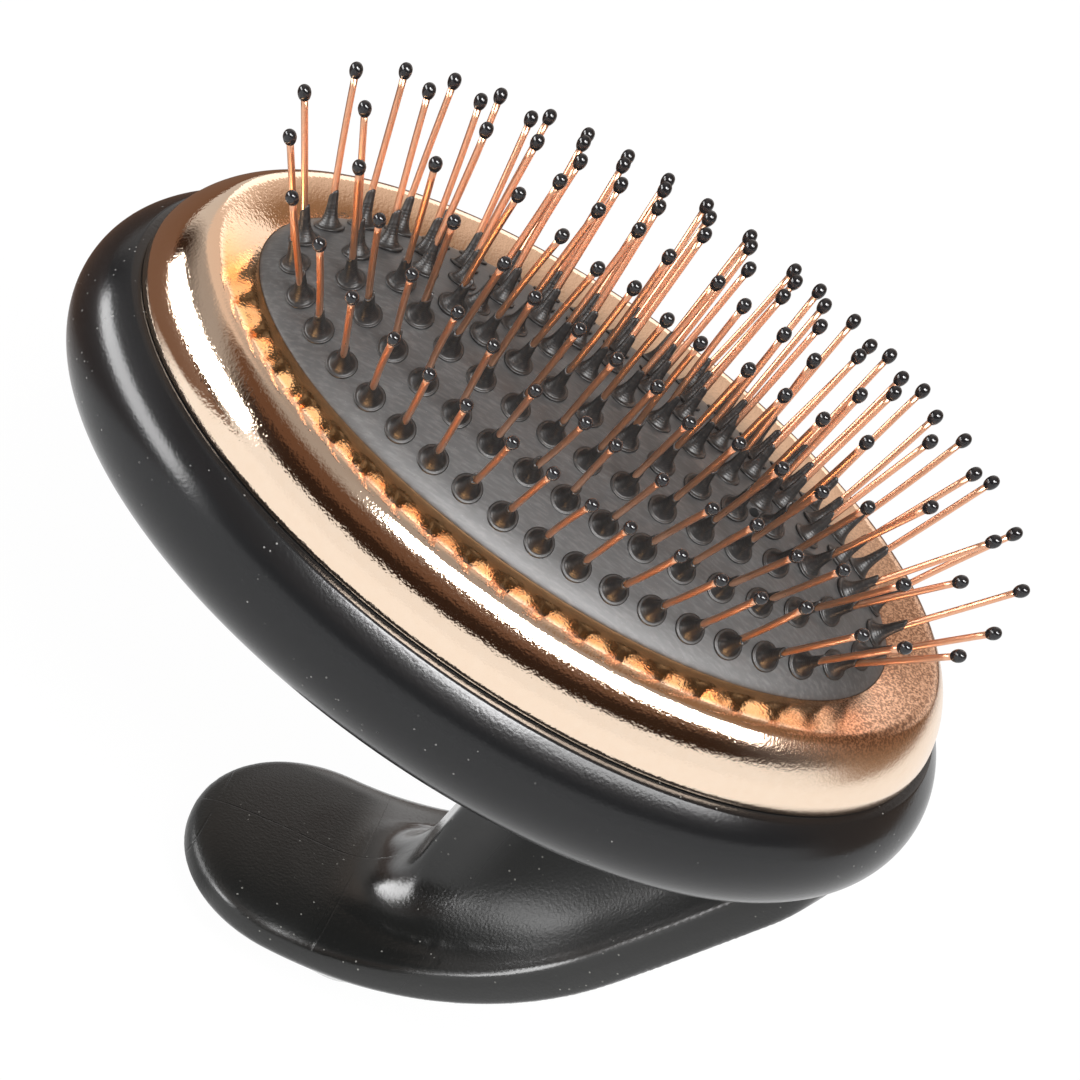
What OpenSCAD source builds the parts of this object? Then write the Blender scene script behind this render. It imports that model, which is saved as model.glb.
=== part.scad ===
// Palm-held cushion hairbrush. The hand grips the curved plate below the head, and the pins point up.
// Heights in the modules count from the seam between the bezel and the shell, which lies at seam_z.

/* [Head outline] */
// Length of the oval seam between the bezel and the shell
seam_l = 107.2; // [95:0.2:125]
// Width of the oval seam
seam_w = 68.4; // [62:0.2:80]

/* [Shell] */
// Radius of the shell's rounded side
roll_r = 9.2; // [8.2:0.1:11]
// Depth of that rounding's centre below the seam
roll_drop = 7.8; // [6.5:0.1:8]
// Wall of the shell
shell_wall = 2.4; // [1.8:0.1:3]

/* [Bezel] */
// Height of the bezel's side, up to its shoulder
bezel_side_h = 1.6; // [0.8:0.1:2.5]
// How far that side leans inward
bezel_lean = 0.4; // [0.2:0.1:0.8]
// Distance of the bezel's crest inside its foot
crest_in = 6.6; // [6:0.1:7.6]
// Height of that crest above the bezel's inner edge
crest_rise = 1.3; // [0.5:0.1:1.8]
// Width of the bezel, from its foot to the cushion
bezel_w = 11; // [10:0.1:12]
// Height of the bezel's inner edge above the seam
bezel_h = 7.9; // [7.7:0.1:9.5]
// Wall of the bezel
bezel_wall = 1.8; // [1.4:0.1:2]

/* [Cushion] */
// Rise of the cushion's middle above its edge
dome_rise = 8.5; // [7:0.1:10]
// Thickness of the rubber
cushion_wall = 2; // [1.5:0.1:2.4]
// Radius of a rubber cone at its foot
cone_r = 1.7; // [1.2:0.05:2]
// Height of a rubber cone
cone_h = 3.4; // [2:0.1:4]
// Diameter of the vent hole
vent_d = 1.2; // [1:0.1:2.4]

/* [Pins] */
// Pins in each ring, from the outer ring to the inner one
ring_pins = [39, 31, 25, 19];
// Lean of the pins of each ring from upright, in degrees
ring_lean = [31, 28, 19.4, 7];
// Distance of the outer ring from the cushion's edge
ring_inset = 3.2; // [2.6:0.1:3.8]
// Distance between the rings
ring_pitch = 5.6; // [5.2:0.1:5.9]
// Diameter of a pin
pin_d = 0.8; // [0.6:0.05:1]
// Length of a pin, from the cushion's surface to the middle of its ball
pin_l = 18.5; // [12:0.5:24]
// Diameter of the pin's flat head under the rubber
pin_head_d = 2.4; // [1.8:0.1:2.8]
// Thickness of the pin's flat head
pin_head_h = 0.5; // [0.3:0.1:0.8]
// Diameter of the ball on a pin
ball_d = 1.4; // [1.2:0.05:1.8]
// How much longer than wide the ball is
ball_stretch = 0.35; // [0:0.05:0.8]

/* [Handle] */
// Radius of the handle's outer curve
bow_r = 48; // [45:0.5:50]
// Centre of that curve, along the head from its middle
bow_x = -2.3; // [-4:0.1:0]
// Depth of that curve's centre below the seam
bow_drop = 22; // [20:0.1:24]
// Slope of the palm plate
palm_slope = 11.5; // [8:0.5:14]
// Slope at which the handle climbs to the head
climb_slope = 65.5; // [62:0.5:68]
// Width of the palm plate
grip_w = 31.6; // [29:0.2:34]
// Width of the handle where it meets the head
root_w = 29; // [26:0.5:32]
// Thickness of the handle's plate
grip_t = 6; // [5:0.1:7]
// Thickness at which the plate's rim is widest, from its outer face
rim_t = 2.4; // [1.6:0.1:3]
// Length of the straight stretch before the palm plate's round tip
palm_flat = 0.7; // [0:0.1:6]
// Half the thickness of the web between the plate and the head
web_half_t = 3; // [2.5:0.1:4]
// Place of the web's front edge along the head
web_front_x = 15.5; // [13:0.5:18]
// Radius at which the web's front edge meets the plate
web_round = 5; // [3:0.5:7]
// Radius of the hollows beside the web
scoop_r = 12; // [9:0.5:12]
// How far the handle's skin stays inside the shell's widest outline
skin_in = 1; // [0.4:0.1:1.6]
// Height of the seam above the surface that the handle stands on
seam_z = 76; // [75:0.5:78]

/* [Frame and screws] */
// Thickness of the cushion frame's plate
frame_t = 1.9; // [1.5:0.1:2.2]
// Width of the cushion's hidden flange
flange_w = 3.4; // [2.5:0.1:3.4]
// Screws that hold the frame under the bezel
frame_screws_n = 8; // [6:2:10]
// Diameter of the small frame screws
small_screw_d = 2; // [1.6:0.1:2.4]
// Diameter of the shell and handle screws
screw_d = 2.5; // [2:0.1:3]
// Diameter of the screw posts
post_d = 6.4; // [5.8:0.1:7.4]
// Place of the shell's posts along the head
post_x = 34; // [31:0.5:36]
// Place of the shell's posts across the head
post_y = 20; // [18:0.5:21]
// Places of the three handle screws along the head
handle_screw_x = [21, 29, 37];

/* [Fits] */
// Play between a pin and its hole in the rubber, per side
pin_play = 0.06; // [0.03:0.01:0.09]
// Play between neighbouring parts, per side
play = 0.2; // [0.1:0.05:0.25]

/* [Hidden] */
$fn = 48;

half_l = seam_l / 2;
half_w = seam_w / 2;
around_steps = 64;

// cushion and pins
edge_l = half_l - bezel_w;
edge_w = half_w - bezel_w;
dome_steps = 7;
dome_bend = 1.5;
dome_edge = 0.78;
dome_share = 0.97;
dome_crowding = 1.6;
dome_skirt = 3 * cushion_wall;
cone_sink = 0.6;
vent_at = [19.3, -0.8];
head_gap = 1;
flange_top = bezel_h - bezel_wall;
flange_bottom = flange_top - cushion_wall;
flange_out = -bezel_w + flange_w;
ring_start = [-90, -90, -90, 90];
arc_step = 2;

// frame
frame_bottom = 0.3;
frame_top = frame_bottom + frame_t;
frame_in = -bezel_w - 1.8;
frame_out = -bezel_wall - 4 * play;
boss_d = 2 * small_screw_d + 0.2;
boss_at = flange_out + play + boss_d / 2;
boss_top = flange_top - 0.5;
small_pilot_l = 3.2;
small_grip_l = 2.8;

// bezel
shoulder_steps = 8;
shoulder_bend = 1.5;

// shell
seam_turn = asin(roll_drop / roll_r);
roll_inset = roll_r * cos(seam_turn);
roll_steps = 12;
floor_z = -roll_drop - roll_r;
floor_top = floor_z + shell_wall;
pilot_share = 0.8;
head_share = 1.9;
plug_d = screw_d * head_share + 2 * play;
post_sink = 0.2;
post_bottom = floor_z + 3.2;
frame_post_bottom = -6;
frame_pilot_l = 6;
frame_grip_l = 5;
screw_head_h = 1.6;
plug_h = 1.4;
through = 20;

// handle
tip_r = grip_w / 2;
bow_centre = [bow_x, -bow_drop];
bow_l = bow_r * (climb_slope - palm_slope) * PI / 180;
climb_l = 33;
foot_dig = 1.2;
bulge_sharp = 3;
bulge_from = 18;
bulge_to = 18;
bulge_fade = 12;
top_round = 0.6;
bottom_round = 0.5;
plate_sides = 28;
bow_step = 3;
scoop_floor = 0.8;
scoop_past = 45;
web_margin = 1.4 * rim_t;
pilot_l = 9;
handle_grip_l = 8;
washer_h = 0.5;

function arc_table(a, b, start) =
    [for (i = 0, s = 0; i <= 360 / arc_step;
          s = s + arc_piece(a, b, start + i * arc_step), i = i + 1) [s, start + i * arc_step]];
function arc_piece(a, b, t) = norm([a * (cos(t + arc_step) - cos(t)), b * (sin(t + arc_step) - sin(t))]);

// height of the cushion above its edge, at a distance u inside that edge
function dome(u) = dome_rise * pow(1 - pow(1 - min(u / edge_w, 1), dome_bend), dome_edge);

// closed solid through outlines that all have the same number of points
module skin(outlines) {
    n = len(outlines[0]);
    last = len(outlines) - 1;
    polyhedron(
        points = [for (outline = outlines, p = outline) p],
        faces = concat(
            [[for (i = [0 : n - 1]) i]],
            [[for (i = [n - 1 : -1 : 0]) last * n + i]],
            [for (k = [0 : last - 1], i = [0 : n - 1])
                [k * n + i, k * n + n + i, k * n + n + (i + 1) % n]],
            [for (k = [0 : last - 1], i = [0 : n - 1])
                [k * n + i, k * n + n + (i + 1) % n, k * n + (i + 1) % n]]
        )
    );
}

// solid through a pile of ovals, lowest first; each is [distance outside the seam oval, height]
module oval_pile(ovals) {
    skin([for (o = ovals) [for (i = [0 : around_steps - 1])
        let (t = i * 360 / around_steps)
        [(half_l + o[0]) * cos(t), (half_w + o[0]) * sin(t), o[1]]]]);
}

// flat oval ring between two distances from the seam oval
module oval_ring(inner, outer, bottom, top) {
    difference() {
        oval_pile([[outer, bottom], [outer, top]]);
        oval_pile([[inner, bottom - 1], [inner, top + 1]]);
    }
}

// puts its children at points of the seam oval moved outward by d
module round_oval(n, d) {
    for (i = [0 : n - 1]) {
        t = (i + 0.5) * 360 / n;
        translate([(half_l + d) * cos(t), (half_w + d) * sin(t), 0]) children();
    }
}

// puts its children on every pin of a ring, with z along the pin and z = 0 on the rubber
module each_pin(ring) {
    inset = ring_inset + ring * ring_pitch;
    a = edge_l - inset;
    b = edge_w - inset;
    table = arc_table(a, b, ring_start[ring]);
    around = table[len(table) - 1][0];
    count = ring_pins[ring];
    for (i = [0 : count - 1]) {
        t = lookup(i * around / count, table);
        away = atan2(a * sin(t), b * cos(t));
        translate([a * cos(t), b * sin(t), bezel_h + dome(inset)])
            rotate([0, ring_lean[ring], away]) children();
    }
}

module each_post() {
    for (x = [-post_x, post_x], y = [-post_y, post_y]) {
        translate([x, y, 0]) children();
    }
}

module shell_outside() {
    oval_pile([for (k = [0 : roll_steps])
        let (t = -90 + k * (90 + seam_turn) / roll_steps)
        [roll_r * cos(t) - roll_inset, roll_r * sin(t) - roll_drop]]);
}

module shell_inside() {
    r = roll_r - shell_wall;
    oval_pile(concat(
        [for (k = [0 : roll_steps])
            let (t = -90 + k * 180 / roll_steps)
            [r * cos(t) - roll_inset, r * sin(t) - roll_drop]],
        [[-roll_inset, 1]]
    ));
}

module head_shell() {
    color([0.16, 0.17, 0.18])
        difference() {
            union() {
                difference() {
                    shell_outside();
                    shell_inside();
                }
                each_post()
                    translate([0, 0, floor_z + post_sink])
                        cylinder(d = post_d, h = frame_post_bottom - play - floor_z - post_sink);
            }
            each_post() {
                translate([0, 0, floor_z - 1]) cylinder(d = plug_d, h = 1 + post_bottom - floor_z);
                translate([0, 0, floor_z - 1]) cylinder(d = screw_d + 2 * play, h = through);
                translate([0, 0, frame_post_bottom - play]) cylinder(d = post_d + 4 * play, h = through);
            }
            for (x = handle_screw_x) {
                translate([x, 0, floor_z - 1]) cylinder(d = screw_d + 2 * play, h = through);
            }
        }
}

// outline of the bezel from its foot up over the shoulder and the crest to the inner edge, thinned by depth
function bezel_outline(depth) =
    let (across = crest_in - bezel_lean - depth,
         up = bezel_h + crest_rise - bezel_side_h - depth)
    concat(
        [[-depth, 0]],
        [for (k = [0 : shoulder_steps])
            let (t = k * 90 / shoulder_steps)
            [across * cos(t) - crest_in, bezel_side_h + up * pow(sin(t), shoulder_bend)]],
        [for (k = [1 : 3])
            [-crest_in - (bezel_w - crest_in) * k / 3, bezel_h - depth + crest_rise * (1 - k * k / 9)]]
    );

module bezel_ring() {
    color([0.85, 0.6, 0.47])
        difference() {
            union() {
                difference() {
                    oval_pile(bezel_outline(0));
                    translate([0, 0, -0.01]) oval_pile(bezel_outline(bezel_wall));
                    oval_pile([[-bezel_w, 0], [-bezel_w, 2 * bezel_h]]);
                }
                oval_ring(-bezel_w, flange_out, flange_top, bezel_h - bezel_wall / 2);
                round_oval(frame_screws_n, boss_at)
                    translate([0, 0, frame_top]) cylinder(d = boss_d, h = boss_top - frame_top);
            }
            oval_pile([[flange_out, flange_bottom - 1], [flange_out, flange_top]]);
            round_oval(frame_screws_n, boss_at)
                translate([0, 0, frame_top - 1])
                    cylinder(d = small_screw_d * pilot_share, h = 1 + small_pilot_l);
        }
}

module cushion_frame() {
    color([0.2, 0.2, 0.21])
        difference() {
            union() {
                oval_ring(frame_in, frame_out, frame_bottom, frame_top);
                oval_ring(frame_in, flange_out, frame_bottom, flange_bottom);
                each_post()
                    translate([0, 0, frame_post_bottom])
                        cylinder(d = post_d, h = frame_top - frame_post_bottom);
            }
            round_oval(frame_screws_n, boss_at)
                translate([0, 0, frame_bottom]) {
                    translate([0, 0, -1]) cylinder(d = small_screw_d + play, h = frame_t + 2);
                    translate([0, 0, -0.01])
                        cylinder(d1 = small_screw_d * head_share, d2 = small_screw_d + play,
                                 h = frame_t / 2);
                }
            each_post()
                translate([0, 0, frame_post_bottom - 1])
                    cylinder(d = screw_d * pilot_share, h = 1 + frame_pilot_l);
        }
}

module frame_screws() {
    color([0.75, 0.75, 0.76])
        round_oval(frame_screws_n, boss_at)
            translate([0, 0, frame_bottom]) {
                cylinder(d1 = small_screw_d * head_share - play, d2 = small_screw_d, h = frame_t / 2 - 0.05);
                cylinder(d = small_screw_d * pilot_share, h = frame_t + small_grip_l);
            }
}

module shell_screws() {
    color([0.75, 0.75, 0.76])
        each_post()
            translate([0, 0, post_bottom]) {
                translate([0, 0, -screw_head_h]) cylinder(d = screw_d * head_share, h = screw_head_h);
                cylinder(d = screw_d, h = frame_post_bottom - play - post_bottom);
                cylinder(d = screw_d * pilot_share, h = frame_post_bottom + frame_grip_l - post_bottom);
            }
}

module screw_plugs() {
    color([0.14, 0.14, 0.15])
        each_post()
            translate([0, 0, floor_z]) cylinder(d = plug_d, h = plug_h);
}

// the dome's outside, moved inward and down by depth
module dome_solid(depth) {
    oval_pile(concat(
        [[-bezel_w - depth, bezel_h - dome_skirt]],
        [for (k = [0 : dome_steps])
            let (u = edge_w * dome_share * pow(k / dome_steps, dome_crowding))
            [-bezel_w - u * (1 - depth / edge_w) - depth, bezel_h - depth + dome(u)]]
    ));
}

module cushion() {
    color([0.23, 0.23, 0.24])
        difference() {
            union() {
                dome_solid(0);
                oval_pile([[flange_out, flange_bottom], [flange_out, flange_top]]);
                for (ring = [0 : 3]) {
                    each_pin(ring)
                        translate([0, 0, -cone_sink])
                            cylinder(r1 = cone_r, r2 = pin_d, h = cone_h + cone_sink);
                }
            }
            dome_solid(cushion_wall);
            oval_pile([[2, -10], [2, flange_bottom]]);
            for (ring = [0 : 3]) {
                each_pin(ring)
                    translate([0, 0, -2 * cushion_wall])
                        cylinder(d = pin_d + 2 * pin_play, h = 2 * cushion_wall + cone_h + 1);
            }
            translate([vent_at[0], vent_at[1], bezel_h]) cylinder(d = vent_d, h = 2 * dome_rise);
        }
}

module pins(ring) {
    color([0.72, 0.44, 0.3])
        each_pin(ring)
            translate([0, 0, -cushion_wall - head_gap]) {
                translate([0, 0, -pin_head_h]) cylinder(d = pin_head_d, h = pin_head_h);
                cylinder(d = pin_d, h = pin_l + cushion_wall + head_gap);
            }
}

module pins_ring_1() {
    pins(0);
}

module pins_ring_2() {
    pins(1);
}

module pins_ring_3() {
    pins(2);
}

module pins_ring_4() {
    pins(3);
}

module balls(ring) {
    color([0.08, 0.08, 0.09])
        each_pin(ring)
            translate([0, 0, pin_l])
                difference() {
                    union() {
                        translate([0, 0, -ball_stretch / 2]) sphere(d = ball_d);
                        translate([0, 0, -ball_stretch / 2]) cylinder(d = ball_d, h = ball_stretch);
                        translate([0, 0, ball_stretch / 2]) sphere(d = ball_d);
                    }
                    translate([0, 0, -ball_d]) cylinder(d = pin_d, h = ball_d);
                }
}

module balls_ring_1() {
    balls(0);
}

module balls_ring_2() {
    balls(1);
}

module balls_ring_3() {
    balls(2);
}

module balls_ring_4() {
    balls(3);
}

// slope of the handle's outer face at a distance s along it; s = 0 where the palm plate ends
function bow_slope(s) = palm_slope + max(0, min(s, bow_l)) / bow_r * 180 / PI;

// point of the handle's outer face, as [place along the head, height]
function bow_point(s) =
    let (a = bow_slope(s), past = s - max(0, min(s, bow_l)))
    bow_centre + bow_r * [sin(a), -cos(a)] + past * [cos(a), sin(a)];

// point at a distance v across the handle and t above its outer face
function bow_place(s, v, t) =
    let (a = bow_slope(s), p = bow_point(s) + t * [-sin(a), cos(a)])
    [p[0], v, p[1]];

function smooth(u) = let (c = max(0, min(u, 1))) c * c * (3 - 2 * c);

function from_tip(s) = s + tip_r + palm_flat;

// 0 at the plate's round tip, rising to 1 where the tip ends
function tip_share(s) = sqrt(max(1 - pow(1 - min(from_tip(s) / tip_r, 1), 2), 0.0001));

// half the width of the plate: a round tip, and a slow taper to the head
function half_width(s) = tip_r * tip_share(s) - smooth((s - bow_l) / climb_l) * (grip_w - root_w) / 2;

// depth of the palm bulge below the outer face, deep enough to give a flat foot
function bulge(s) =
    smooth(from_tip(s) / bulge_from) * smooth((bulge_to - s) / bulge_fade)
    * ((seam_z + bow_point(s)[1]) / cos(bow_slope(s)) + foot_dig);

// outline across the plate; both faces round off towards its sides and towards its tip
function plate_outline(s) =
    [for (i = [0 : plate_sides - 1])
        let (t = i * 360 / plate_sides, up = abs(sin(t)), in = up * tip_share(s))
        bow_place(s, half_width(s) * cos(t), t < 180
            ? rim_t + (grip_t - rim_t) * pow(in, top_round)
            : rim_t - rim_t * pow(in, bottom_round) - bulge(s) * pow(up, bulge_sharp))];

module plate() {
    tip = -tip_r - palm_flat;
    skin([for (s = concat(
        [for (k = [0.03, 0.15, 0.5, 1, 2, 3.5, 6, 9, 12, 15]) tip + k],
        [for (s = [0 : bow_step : bow_l + climb_l]) s]
    )) plate_outline(s)]);
}

// channel beside the web, open away from the handle's middle
module side_hollow() {
    floor_t = rim_t + (grip_t - rim_t) * scoop_floor;
    deep = bow_r - 1;
    outline = concat(
        [[web_half_t, deep]],
        [for (a = [180 : 10 : 270]) [web_half_t + scoop_r, floor_t + scoop_r] + scoop_r * [cos(a), sin(a)]],
        [[2 * grip_w, floor_t], [2 * grip_w, deep]]
    );
    skin([for (s = concat([-5], [for (s = [0 : bow_step : bow_l]) s], [bow_l + scoop_past]))
        [for (p = outline) bow_place(s, p[0], p[1])]]);
}

// web between the plate and the head, with round feet on the plate
module web() {
    half = grip_w / 2 - web_margin;
    top = bow_drop + sqrt(pow(bow_r - grip_t, 2) - pow(web_front_x - web_round - bow_x, 2));
    outline = concat(
        [[web_front_x, floor_z + shell_wall]],
        [for (a = [0 : -10 : -90])
            [web_front_x - web_round, web_round - top] + web_round * [cos(a), sin(a)]],
        [for (s = [5 : bow_step : bow_l + climb_l]) let (p = bow_place(s, 0, grip_t / 2)) [p[0], p[2]]]
    );
    difference() {
        rotate([90, 0, 0])
            linear_extrude(2 * half, center = true) polygon(outline);
        side_hollow();
        mirror([0, 1, 0]) side_hollow();
    }
}

module palm_handle() {
    color([0.17, 0.18, 0.18])
        difference() {
            intersection() {
                union() {
                    plate();
                    web();
                }
                oval_pile([[roll_r - roll_inset - skin_in, -seam_z - 1], [roll_r - roll_inset - skin_in, 0]]);
            }
            translate([-seam_l, -grip_w, -2 * seam_z]) cube([2 * seam_l, 2 * grip_w, seam_z]);
            shell_outside();
            for (x = handle_screw_x) {
                translate([x, 0, floor_z - pilot_l]) cylinder(d = screw_d * pilot_share, h = pilot_l + 1);
            }
        }
}

module handle_screws() {
    color([0.75, 0.75, 0.76])
        for (x = handle_screw_x) {
            translate([x, 0, floor_top + washer_h]) {
                cylinder(d = screw_d * head_share, h = screw_head_h);
                translate([0, 0, -shell_wall - washer_h]) cylinder(d = screw_d, h = shell_wall + washer_h);
                translate([0, 0, -shell_wall - handle_grip_l])
                    cylinder(d = screw_d * pilot_share, h = shell_wall + handle_grip_l);
            }
        }
}

module handle_washers() {
    color([0.7, 0.7, 0.72])
        for (x = handle_screw_x) {
            translate([x, 0, floor_top])
                difference() {
                    cylinder(d = 2.4 * screw_d, h = washer_h);
                    translate([0, 0, -1]) cylinder(d = screw_d + 2 * play, h = washer_h + 2);
                }
        }
}

translate([0, 0, seam_z]) {
    head_shell();
    palm_handle();
    handle_screws();
    handle_washers();
    shell_screws();
    screw_plugs();
    bezel_ring();
    cushion_frame();
    frame_screws();
    cushion();
    pins_ring_1();
    pins_ring_2();
    pins_ring_3();
    pins_ring_4();
    balls_ring_1();
    balls_ring_2();
    balls_ring_3();
    balls_ring_4();
}
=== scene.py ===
# Looks of a palm-held cushion hairbrush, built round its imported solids.
# Sizes are in millimetres, with heights from the seam between bezel and shell; meshes are in metres.
import math
import random

import bpy
import numpy as np
from mathutils import Matrix


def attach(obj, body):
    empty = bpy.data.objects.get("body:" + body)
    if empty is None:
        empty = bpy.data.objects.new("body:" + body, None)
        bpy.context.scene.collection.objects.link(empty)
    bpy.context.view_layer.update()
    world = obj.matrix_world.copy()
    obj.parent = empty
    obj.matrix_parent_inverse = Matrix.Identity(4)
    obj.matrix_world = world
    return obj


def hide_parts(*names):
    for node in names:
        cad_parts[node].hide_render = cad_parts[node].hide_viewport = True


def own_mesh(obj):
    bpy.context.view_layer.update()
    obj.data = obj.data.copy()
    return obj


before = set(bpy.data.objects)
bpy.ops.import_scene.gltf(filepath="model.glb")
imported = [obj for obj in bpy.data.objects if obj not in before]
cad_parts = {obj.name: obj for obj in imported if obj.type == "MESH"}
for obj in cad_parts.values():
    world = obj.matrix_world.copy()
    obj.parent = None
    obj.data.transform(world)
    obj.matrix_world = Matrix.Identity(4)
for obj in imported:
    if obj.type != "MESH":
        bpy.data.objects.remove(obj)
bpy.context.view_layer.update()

MM = 0.001
SEAM_Z = 76.0
HALF_L, HALF_W = 53.6, 34.2
BEZEL_W, BEZEL_H = 11.0, 7.9
DOME_RISE, DOME_BEND, DOME_EDGE = 8.5, 1.5, 0.78
EDGE_L, EDGE_W = HALF_L - BEZEL_W, HALF_W - BEZEL_W
ROLL_R, ROLL_DROP = 9.2, 7.8
ROLL_INSET = math.sqrt(ROLL_R ** 2 - ROLL_DROP ** 2)
FLOOR_Z = -ROLL_DROP - ROLL_R
SHELL_WALL = 2.4
POSTS = [(x, y) for x in (-34, 34) for y in (-20, 20)]
PLUG_R, WELL_PLAY, WELL_DEPTH = 2.62, 0.16, 1.3
PAD_T, FLANGE_W, FLANGE_DROP = 2, 3, 3.7
VENT_AT, VENT_R = (19.3, -0.8), 0.6
VENT_FROM, VENT_TO = 8, 22

RING_PINS = [39, 31, 25, 19]
RING_LEAN = [31, 28, 19.4, 7]
RING_START = [-90, -90, -90, 90]
RING_INSET, RING_PITCH = 3.2, 5.6
PIN_R, PIN_L = 0.4, 18.5
BALL_R, BALL_HALF = 0.77, 1.04


# ---------------------------------------------------------------- meshes

def mesh_piece(name, points, faces):
    """Smooth piece from points in millimetres; its mesh lies in the row frame."""
    points = (np.asarray(points, float) + [0, 0, SEAM_Z]) * MM
    mesh = bpy.data.meshes.new(name)
    mesh.from_pydata(points.tolist(), [], [list(map(int, f)) for f in faces])
    mesh.validate()
    mesh.polygons.foreach_set("use_smooth", [True] * len(mesh.polygons))
    piece = bpy.data.objects.new(name, mesh)
    bpy.context.scene.collection.objects.link(piece)
    return piece


def grid_faces(rows, columns, start=0, close_rows=False):
    """Quads of a grid whose columns close into loops, and whose rows may."""
    faces = []
    for k in range(rows if close_rows else rows - 1):
        low, high = start + k * columns, start + ((k + 1) % rows) * columns
        for i in range(columns):
            j = (i + 1) % columns
            faces.append((low + i, low + j, high + j, high + i))
    return faces


def capped_faces(rows, columns):
    """Quads of a grid whose columns close into loops, with a face over the first row and the last."""
    faces = grid_faces(rows, columns)
    faces.append(tuple(range(columns - 1, -1, -1)))
    faces.append(tuple((rows - 1) * columns + i for i in range(columns)))
    return faces


def oval_rings(outline, count):
    """Points of an outline of (outset from the seam oval, height), carried round that oval."""
    t = np.linspace(0, 2 * math.pi, count, endpoint=False)
    rings = [[(HALF_L + outset) * np.cos(t), (HALF_W + outset) * np.sin(t), np.full(count, z)]
             for outset, z in outline]
    return np.concatenate([np.stack(ring, 1) for ring in rings])


def lathe(profile, sides):
    """Points and faces of a profile of (radius, height) turned about z, with both ends closed."""
    t = np.linspace(0, 2 * math.pi, sides, endpoint=False)
    rings = [np.stack([r * np.cos(t), r * np.sin(t), np.full(sides, z)], 1) for r, z in profile]
    return np.concatenate(rings), capped_faces(len(profile), sides)


class Heap:
    """Gathers separate forms into one mesh."""

    def __init__(self):
        self.points, self.faces, self.count = [], [], 0

    def add(self, points, faces):
        self.points.append(points)
        self.faces += [tuple(i + self.count for i in f) for f in faces]
        self.count += len(points)

    def piece(self, name):
        return mesh_piece(name, np.concatenate(self.points), self.faces)


def walk(start, stretches, step=0.05):
    """Outline from start; each stretch is (length, lean of the face at its end), lean 0 facing outward."""
    lean, place = stretches[0][1], np.array(start, float)
    outline = [place.copy()]
    for length, end in stretches[1:]:
        count = max(2, round(length / step))
        for k in range(count):
            a = math.radians(lean + (end - lean) * (k + 0.5) / count)
            place = place + length / count * np.array([-math.sin(a), math.cos(a)])
            outline.append(place.copy())
        lean = end
    return np.array(outline)


def thin_out(outline, count):
    """The outline with count points, evenly spaced."""
    along = np.concatenate([[0], np.cumsum(np.hypot(*np.diff(outline, axis=0).T))])
    at = np.linspace(0, along[-1], count)
    return np.stack([np.interp(at, along, outline[:, 0]), np.interp(at, along, outline[:, 1])], 1)


def ease(u):
    u = np.clip(u, 0, 1)
    return u * u * (3 - 2 * u)


def dome(u):
    """Height of the cushion above its edge at a distance u inside that edge."""
    return DOME_RISE * (1 - (1 - np.clip(u / EDGE_W, 0, 1)) ** DOME_BEND) ** DOME_EDGE


def turned(points, axis, place):
    """Points whose z is laid along axis and which are moved to place."""
    axis = axis / np.linalg.norm(axis)
    side = np.cross([0, 1, 0], axis)
    side /= np.linalg.norm(side)
    return points @ np.array([side, np.cross(axis, side), axis]) + place


def settled_mesh(piece):
    """Puts the result of the piece's modifiers into its mesh."""
    bpy.context.view_layer.update()
    graph = bpy.context.evaluated_depsgraph_get()
    done = bpy.data.meshes.new_from_object(piece.evaluated_get(graph))
    piece.modifiers.clear()
    piece.data = done


def cut(piece, cutters):
    """Takes the cutters away from the piece, and deletes them."""
    for cutter in cutters:
        mod = piece.modifiers.new("cut", "BOOLEAN")
        mod.operation, mod.object, mod.solver = "DIFFERENCE", cutter, "EXACT"
    settled_mesh(piece)
    for cutter in cutters:
        bpy.data.objects.remove(cutter)


# ---------------------------------------------------------------- head

# outsides are stretches of (length, lean of the face at its end); insides are (outset, height)
SEAM_LEDGE, SEAM_GAP = 0.4, 0.1
SHELL_UPPER = [(0, 0), (3.0, 20), (3.0, 40), (2.3, 48), (0.4, 80), (1.1, 91)]
SHELL_INSIDE = [[-1.8, -0.3], [-2.0, -2], [-0.6, -6], [-0.8, -10], [-3, -13.6],
                [-6, FLOOR_Z + SHELL_WALL], [-20, FLOOR_Z + SHELL_WALL]]
BEZEL_OUTSIDE = [(0, -30), (0.3, -3), (1.4, 2), (0.5, 13), (2.7, 27.2), (3.1, 42.9), (1.25, 50.9),
                 (1.8, 97), (4.0, 108), (1.5, 111)]
BEZEL_INSIDE = [[-11.0, 7.3], [-10.9, 6.4], [-6.5, 7.2], [-4.2, 6.2], [-2.4, 3.5], [-1.9, 0.1]]


def shell_outline():
    """Outset and height of the shell's outside, from the middle of its floor up to the seam."""
    upper = walk((0, 0), SHELL_UPPER)
    span = upper[:, 0] - upper[0, 0]
    upper[:, 0] = span * (ROLL_R - ROLL_INSET + SEAM_LEDGE) / abs(span[-1])
    upper += [ROLL_R - ROLL_INSET, -SEAM_GAP - upper[-1, 1]]
    t = np.radians(np.linspace(-90, 0, 40))
    lower = np.stack([ROLL_R * np.cos(t) - ROLL_INSET, ROLL_R * np.sin(t) - ROLL_DROP], 1)
    lower[:, 1] = FLOOR_Z + (lower[:, 1] - FLOOR_Z) * (upper[0, 1] - FLOOR_Z) / (lower[-1, 1] - FLOOR_Z)
    return np.concatenate([[[-20, FLOOR_Z], [-10, FLOOR_Z]], lower, thin_out(upper, 90)[1:]])


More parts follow.
